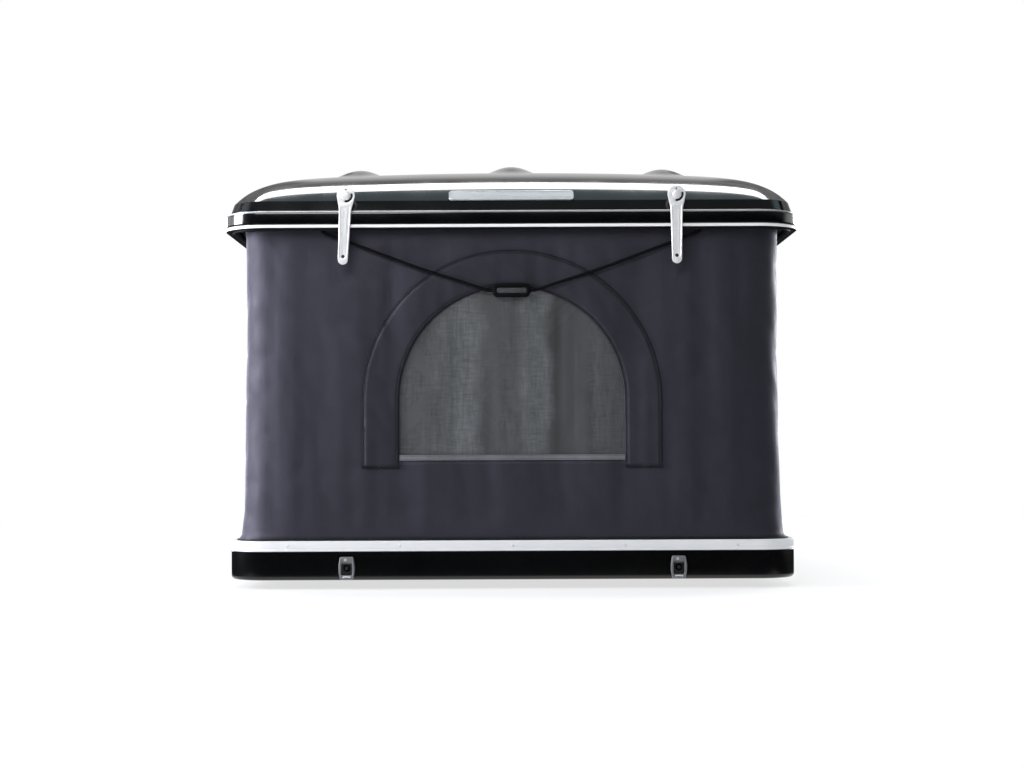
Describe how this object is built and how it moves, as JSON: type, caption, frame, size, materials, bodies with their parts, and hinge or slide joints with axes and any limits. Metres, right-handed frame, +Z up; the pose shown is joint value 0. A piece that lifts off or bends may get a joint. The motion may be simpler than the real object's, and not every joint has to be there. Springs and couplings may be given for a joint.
{
  "type": "roof top tent",
  "caption": "Hard-shell pop-up roof top tent with a domed black roof that rises on scissor frames, charcoal canvas walls, arched net windows and strap latches.",
  "frame": {"origin": "centre of the footprint on the underside of the mounting rails", "axes": "+X across the width, +Y along the length with the front at negative Y, +Z up"},
  "size_m": [1.3, 2.1188, 1.033],
  "materials": {
    "gloss_black": "high gloss moulded shell",
    "bright_alloy": "bright satin extrusion",
    "seal_rubber": "soft matt rubber",
    "liner_felt": "grey needle felt",
    "plate_steel": "plain brushed plate",
    "floor_board": "varnished board",
    "mattress_cover": "quilted cover",
    "canvas_cloth": "charcoal coated canvas",
    "window_net": "fine insect net",
    "steel": "plated steel",
    "latch_steel": "brushed stainless",
    "strut_black": "black enamel",
    "nylon": "natural nylon",
    "latch_black": "fine black grain",
    "cord_black": "braided black cord"
  },
  "bodies": {
    "base": {"base_shell": "gloss_black", "base_band": "bright_alloy", "band_rivets": "steel", "floor_panel": "floor_board", "mattress": "mattress_cover", "mount_rail_left": "bright_alloy", "mount_rail_right": "bright_alloy", "rail_screws": "steel", "canvas": "canvas_cloth", "window_nets": "window_net", "door_rolls": "canvas_cloth", "catches": "latch_steel", "front_base_bracket": "steel", "rear_base_bracket": "steel", "front_base_track": "bright_alloy", "rear_base_track": "bright_alloy"},
    "roof": {"roof_shell": "gloss_black", "roof_trim": "bright_alloy", "roof_bead": "bright_alloy", "rim_seal": "seal_rubber", "canvas_frame": "bright_alloy", "roof_liner": "liner_felt", "badge_plate": "plate_steel", "front_roof_bracket": "steel", "rear_roof_bracket": "steel", "front_roof_track": "bright_alloy", "rear_roof_track": "bright_alloy", "latch_posts": "latch_black", "latch_rivets": "steel", "cord_ferrules": "steel", "pull_cord_left": "cord_black", "pull_cord_right": "cord_black", "pull_handle": "seal_rubber"},
    "front_arm_a": {"front_arm_a": "steel", "front_glide_a": "nylon", "front_pivot": "steel"},
    "front_arm_b": {"front_arm_b": "steel", "front_glide_b": "nylon"},
    "front_base_tube": {"front_base_tube": "strut_black"},
    "front_base_rod": {"front_base_rod": "steel"},
    "front_roof_tube": {"front_roof_tube": "strut_black"},
    "front_roof_rod": {"front_roof_rod": "steel"},
    "rear_arm_a": {"rear_arm_a": "steel", "rear_glide_a": "nylon", "rear_pivot": "steel"},
    "rear_arm_b": {"rear_arm_b": "steel", "rear_glide_b": "nylon"},
    "rear_base_tube": {"rear_base_tube": "strut_black"},
    "rear_base_rod": {"rear_base_rod": "steel"},
    "rear_roof_tube": {"rear_roof_tube": "strut_black"},
    "rear_roof_rod": {"rear_roof_rod": "steel"},
    "front_strap_left": {"front_strap_left": "latch_steel"},
    "front_strap_right": {"front_strap_right": "latch_steel"},
    "rear_strap_left": {"rear_strap_left": "latch_steel"},
    "rear_strap_right": {"rear_strap_right": "latch_steel"},
    "front_button_left": {"front_button_left": "latch_black"},
    "front_button_right": {"front_button_right": "latch_black"},
    "rear_button_left": {"rear_button_left": "latch_black"},
    "rear_button_right": {"rear_button_right": "latch_black"}
  },
  "joints": [
    {"name": "lift", "type": "hinge", "parent": "base", "child": "front_arm_a", "pos_m": [-0.545, -0.968, 0.079], "axis": [0, -1, 0], "range_deg": [-40.48, 0], "stiffness_Nm_per_rad": 98, "springref_deg": 134.65, "deforming": ["canvas", "window_nets", "door_rolls", "pull_cord_left", "pull_cord_right", "pull_handle"]},
    {"name": "front_cross", "type": "hinge", "parent": "front_arm_a", "child": "front_arm_b", "pos_m": [-0.15143, -0.968, 0.456], "axis": [0, -1, 0], "range_deg": [0, 80.96]},
    {"name": "roof_level", "type": "hinge", "parent": "front_arm_b", "child": "roof", "pos_m": [-0.545, -0.968, 0.833], "axis": [0, -1, 0], "range_deg": [-40.48, 0]},
    {"name": "rear_lift", "type": "hinge", "parent": "base", "child": "rear_arm_a", "pos_m": [-0.545, 0.968, 0.079], "axis": [0, -1, 0], "range_deg": [-40.48, 0]},
    {"name": "rear_cross", "type": "hinge", "parent": "rear_arm_a", "child": "rear_arm_b", "pos_m": [-0.15143, 0.968, 0.456], "axis": [0, -1, 0], "range_deg": [0, 80.96]},
    {"name": "front_base_strut", "type": "hinge", "parent": "base", "child": "front_base_tube", "pos_m": [-0.44993, -0.988, 0.06564], "axis": [0, -1, 0], "range_deg": [-20.24, 0]},
    {"name": "front_base_stroke", "type": "slide", "parent": "front_base_tube", "child": "front_base_rod", "axis": [-0.6722, 0, 0.7403], "range_m": [-0.0516, 0]},
    {"name": "front_roof_strut", "type": "hinge", "parent": "roof", "child": "front_roof_tube", "pos_m": [-0.44993, -0.948, 0.84636], "axis": [0, -1, 0], "range_deg": [0, 20.24]},
    {"name": "front_roof_stroke", "type": "slide", "parent": "front_roof_tube", "child": "front_roof_rod", "axis": [-0.6722, 0, -0.7403], "range_m": [-0.0516, 0]},
    {"name": "rear_base_strut", "type": "hinge", "parent": "base", "child": "rear_base_tube", "pos_m": [-0.44993, 0.988, 0.06564], "axis": [0, -1, 0], "range_deg": [-20.24, 0]},
    {"name": "rear_base_stroke", "type": "slide", "parent": "rear_base_tube", "child": "rear_base_rod", "axis": [-0.6722, 0, 0.7403], "range_m": [-0.0516, 0]},
    {"name": "rear_roof_strut", "type": "hinge", "parent": "roof", "child": "rear_roof_tube", "pos_m": [-0.44993, 0.948, 0.84636], "axis": [0, -1, 0], "range_deg": [0, 20.24]},
    {"name": "rear_roof_stroke", "type": "slide", "parent": "rear_roof_tube", "child": "rear_roof_rod", "axis": [-0.6722, 0, -0.7403], "range_m": [-0.0516, 0]},
    {"name": "front_latch_left", "type": "hinge", "parent": "roof", "child": "front_strap_left", "pos_m": [-0.368, -1.05, 0.875], "axis": [0, 1, 0], "range_deg": [-2.7, 69.3]},
    {"name": "front_lock_left", "type": "slide", "parent": "base", "child": "front_button_left", "axis": [0, -1, 0], "range_m": [0, 0.01]},
    {"name": "front_latch_right", "type": "hinge", "parent": "roof", "child": "front_strap_right", "pos_m": [0.368, -1.05, 0.875], "axis": [0, 1, 0], "range_deg": [0, 72]},
    {"name": "front_lock_right", "type": "slide", "parent": "base", "child": "front_button_right", "axis": [0, -1, 0], "range_m": [0, 0.01]},
    {"name": "rear_latch_left", "type": "hinge", "parent": "roof", "child": "rear_strap_left", "pos_m": [0.368, 1.05, 0.875], "axis": [0, -1, 0], "range_deg": [0, 72]},
    {"name": "rear_lock_left", "type": "slide", "parent": "base", "child": "rear_button_left", "axis": [0, 1, 0], "range_m": [0, 0.01]},
    {"name": "rear_latch_right", "type": "hinge", "parent": "roof", "child": "rear_strap_right", "pos_m": [-0.368, 1.05, 0.875], "axis": [0, -1, 0], "range_deg": [0, 72]},
    {"name": "rear_lock_right", "type": "slide", "parent": "base", "child": "rear_button_right", "axis": [0, 1, 0], "range_m": [0, 0.01]}
  ],
  "couplings": [
    {"joint": "front_cross", "follows": "lift", "ratio": -2},
    {"joint": "roof_level", "follows": "lift", "ratio": 1},
    {"joint": "rear_lift", "follows": "lift", "ratio": 1},
    {"joint": "rear_cross", "follows": "lift", "ratio": -2},
    {"joint": "front_base_strut", "follows": "lift", "ratio": 0.5},
    {"joint": "front_base_stroke", "follows": "lift", "m_per_rad": 0.073029},
    {"joint": "front_roof_strut", "follows": "lift", "ratio": -0.5},
    {"joint": "front_roof_stroke", "follows": "lift", "m_per_rad": 0.073029},
    {"joint": "rear_base_strut", "follows": "lift", "ratio": 0.5},
    {"joint": "rear_base_stroke", "follows": "lift", "m_per_rad": 0.073029},
    {"joint": "rear_roof_strut", "follows": "lift", "ratio": -0.5},
    {"joint": "rear_roof_stroke", "follows": "lift", "m_per_rad": 0.073029}
  ]
}
